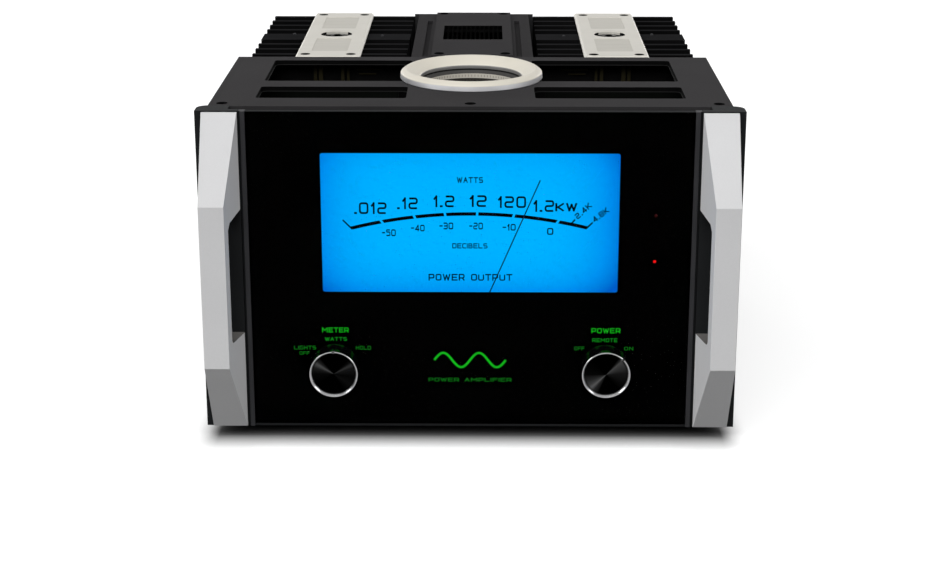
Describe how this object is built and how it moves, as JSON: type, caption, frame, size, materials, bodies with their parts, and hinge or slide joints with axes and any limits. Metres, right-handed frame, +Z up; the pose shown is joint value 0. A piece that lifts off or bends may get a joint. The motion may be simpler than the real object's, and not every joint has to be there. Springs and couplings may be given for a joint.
{
  "type": "power amplifier",
  "caption": "Mono power amplifier with a lit needle meter behind black glass, angular handles, rotary knobs, a slotted top with a round trim ring, and finned heat sinks by a connector tower.",
  "frame": {"origin": "on the ground under the middle of the amplifier's overall box", "axes": "+X to the right as seen from the front, +Y from the glass front towards the connectors at the back, +Z up"},
  "size_m": [0.4444, 0.51, 0.291],
  "materials": {
    "chassis_black": "satin black paint",
    "frame_black": "black anodised",
    "clear_glass": "polished plate glass",
    "mask_black": "opaque black backing",
    "strip_grey": "dark grey anodised",
    "satin_silver": "satin silver",
    "black_steel": "black oxide",
    "plate_grey": "fine textured dark grey",
    "ring_cream": "pale satin, slightly warm",
    "sleeve_silver": "turned silver",
    "lens_black": "polished black",
    "sink_black": "black anodised",
    "cap_silver": "satin silver, slightly warm",
    "foot_rubber": "black rubber",
    "box_white": "white reflector",
    "dial_blue": "lit translucent blue",
    "magnet_grey": "plain iron",
    "bridge_brass": "brushed brass",
    "needle_black": "matt black",
    "coil_copper": "enamelled copper wire",
    "knob_black": "spun black",
    "rim_chrome": "polished bevel",
    "shaft_steel": "turned steel",
    "switch_grey": "moulded grey",
    "board_green": "circuit board",
    "black_plastic": "moulded black",
    "led_red": "lit red",
    "post_gold": "gold plated",
    "socket_nickel": "nickel plated",
    "slider_white": "moulded white",
    "winding_amber": "taped copper winding on an iron core",
    "can_blue": "sleeved aluminium can",
    "potted_black": "potted steel can"
  },
  "bodies": {
    "amplifier": {"base_tray": "chassis_black", "front_frame": "frame_black", "front_glass": "clear_glass", "glass_mask": "mask_black", "glass_strips": "strip_grey", "left_handle": "satin_silver", "right_handle": "satin_silver", "chassis_bolts": "black_steel", "top_plate": "plate_grey", "cover_screws": "black_steel", "top_ring": "ring_cream", "ring_sleeve": "sleeve_silver", "ring_lens": "lens_black", "left_side_panel": "chassis_black", "right_side_panel": "chassis_black", "inner_wall": "chassis_black", "tower_shell": "plate_grey", "tower_lid": "plate_grey", "rear_panel": "chassis_black", "left_heat_sink": "sink_black", "right_heat_sink": "sink_black", "left_sink_cap": "cap_silver", "right_sink_cap": "cap_silver", "feet": "foot_rubber", "meter_box": "box_white", "meter_dial": "dial_blue", "meter_magnet": "magnet_grey", "meter_bridge": "bridge_brass", "meter_switch": "switch_grey", "power_switch": "switch_grey", "control_boards": "board_green", "driver_boards": "board_green", "output_transistors": "black_plastic", "indicator_leds": "led_red", "mains_inlet": "black_plastic", "fuse_holder": "black_plastic", "post_bases": "post_gold", "balanced_input": "socket_nickel", "line_jacks": "post_gold", "selector_body": "black_plastic", "power_transformer": "winding_amber", "filter_capacitors": "can_blue", "output_autoformer": "potted_black"},
    "meter_pointer": {"meter_needle": "needle_black", "meter_coil": "coil_copper"},
    "meter_control": {"meter_knob": "knob_black", "meter_knob_rim": "rim_chrome", "meter_shaft": "shaft_steel"},
    "power_control": {"power_knob": "knob_black", "power_knob_rim": "rim_chrome", "power_shaft": "shaft_steel"},
    "terminal_nut_1": {"post_nut_1": "post_gold"},
    "terminal_nut_2": {"post_nut_2": "post_gold"},
    "terminal_nut_3": {"post_nut_3": "post_gold"},
    "terminal_nut_4": {"post_nut_4": "post_gold"},
    "terminal_nut_5": {"post_nut_5": "post_gold"},
    "terminal_nut_6": {"post_nut_6": "post_gold"},
    "fuse_carrier": {"fuse_cap": "black_plastic"},
    "plug_latch": {"input_latch": "socket_nickel"},
    "input_switch": {"selector_slider": "slider_white"}
  },
  "joints": [
    {"name": "needle_swing", "type": "hinge", "parent": "amplifier", "child": "meter_pointer", "pos_m": [0, -0.2065, 0.0875], "axis": [0, 1, 0], "range_deg": [-69, 23], "stiffness_Nm_per_rad": 0.01},
    {"name": "meter_knob_turn", "type": "hinge", "parent": "amplifier", "child": "meter_control", "pos_m": [-0.1128, -0.227, 0.064], "axis": [0, 1, 0], "range_deg": [-45, 45]},
    {"name": "power_knob_turn", "type": "hinge", "parent": "amplifier", "child": "power_control", "pos_m": [0.1128, -0.227, 0.064], "axis": [0, 1, 0], "range_deg": [-90, 0]},
    {"name": "terminal_nut_1_turn", "type": "hinge", "parent": "amplifier", "child": "terminal_nut_1", "pos_m": [-0.024, 0.239, 0.186], "axis": [0, 1, 0], "range_deg": [0, 720]},
    {"name": "terminal_nut_2_turn", "type": "hinge", "parent": "amplifier", "child": "terminal_nut_2", "pos_m": [0.024, 0.239, 0.186], "axis": [0, 1, 0], "range_deg": [0, 720]},
    {"name": "terminal_nut_3_turn", "type": "hinge", "parent": "amplifier", "child": "terminal_nut_3", "pos_m": [-0.024, 0.239, 0.152], "axis": [0, 1, 0], "range_deg": [0, 720]},
    {"name": "terminal_nut_4_turn", "type": "hinge", "parent": "amplifier", "child": "terminal_nut_4", "pos_m": [0.024, 0.239, 0.152], "axis": [0, 1, 0], "range_deg": [0, 720]},
    {"name": "terminal_nut_5_turn", "type": "hinge", "parent": "amplifier", "child": "terminal_nut_5", "pos_m": [-0.024, 0.239, 0.118], "axis": [0, 1, 0], "range_deg": [0, 720]},
    {"name": "terminal_nut_6_turn", "type": "hinge", "parent": "amplifier", "child": "terminal_nut_6", "pos_m": [0.024, 0.239, 0.118], "axis": [0, 1, 0], "range_deg": [0, 720]},
    {"name": "fuse_cap_turn", "type": "hinge", "parent": "amplifier", "child": "fuse_carrier", "pos_m": [-0.038, 0.229, 0.05], "axis": [0, 1, 0], "range_deg": [0, 60]},
    {"name": "latch_press", "type": "slide", "parent": "amplifier", "child": "plug_latch", "axis": [0, -1, 0], "range_m": [0, 0.0015], "stiffness_N_per_m": 500},
    {"name": "input_select", "type": "slide", "parent": "amplifier", "child": "input_switch", "axis": [1, 0, 0], "range_m": [0, 0.0072]}
  ]
}
